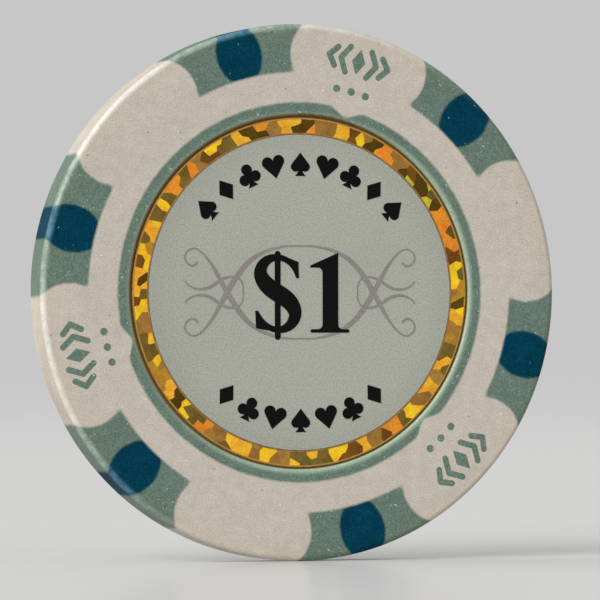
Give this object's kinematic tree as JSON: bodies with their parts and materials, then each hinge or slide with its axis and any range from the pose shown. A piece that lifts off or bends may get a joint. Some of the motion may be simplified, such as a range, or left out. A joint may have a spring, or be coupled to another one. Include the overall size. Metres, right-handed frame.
{
  "type": "poker chip",
  "caption": "Round flat poker chip: off-white moulding with sage edge blocks, blue rim plugs, sage ring, and a recessed gold foil label with a value on each face.",
  "frame": {"origin": "centre of the back face, on the surface that the chip lies on", "axes": "+Z along the chip's axis, out of the front face; +Y up for the front label's value; +X to the right of it"},
  "size_m": [0.039, 0.039, 0.0033],
  "materials": {
    "slug_steel": "stamped mild steel",
    "sage_composite": "matte mineral-filled moulding, sage green with pale flecks",
    "cream_composite": "matte mineral-filled moulding, warm off-white with fine pits",
    "blue_composite": "matte mineral-filled moulding, deep petrol blue",
    "adhesive": "clear pressure-sensitive adhesive",
    "gold_foil": "gold prismatic metallised film of cracked facets",
    "dial_print": "matte grey-green print",
    "grey_ink": "matte grey print",
    "black_ink": "matte black print"
  },
  "bodies": {
    "root": {"steel_slug": "slug_steel", "sage_core": "sage_composite", "cream_jacket": "cream_composite", "blue_plug_1": "blue_composite", "blue_plug_2": "blue_composite", "blue_plug_3": "blue_composite", "blue_plug_4": "blue_composite", "blue_plug_5": "blue_composite", "blue_plug_6": "blue_composite", "front_label_adhesive": "adhesive", "front_label_foil": "gold_foil", "front_label_dial": "dial_print", "front_label_scroll": "grey_ink", "front_label_pips": "black_ink", "front_label_value": "black_ink", "back_label_adhesive": "adhesive", "back_label_foil": "gold_foil", "back_label_dial": "dial_print", "back_label_scroll": "grey_ink", "back_label_pips": "black_ink", "back_label_value": "black_ink"}
  },
  "joints": []
}
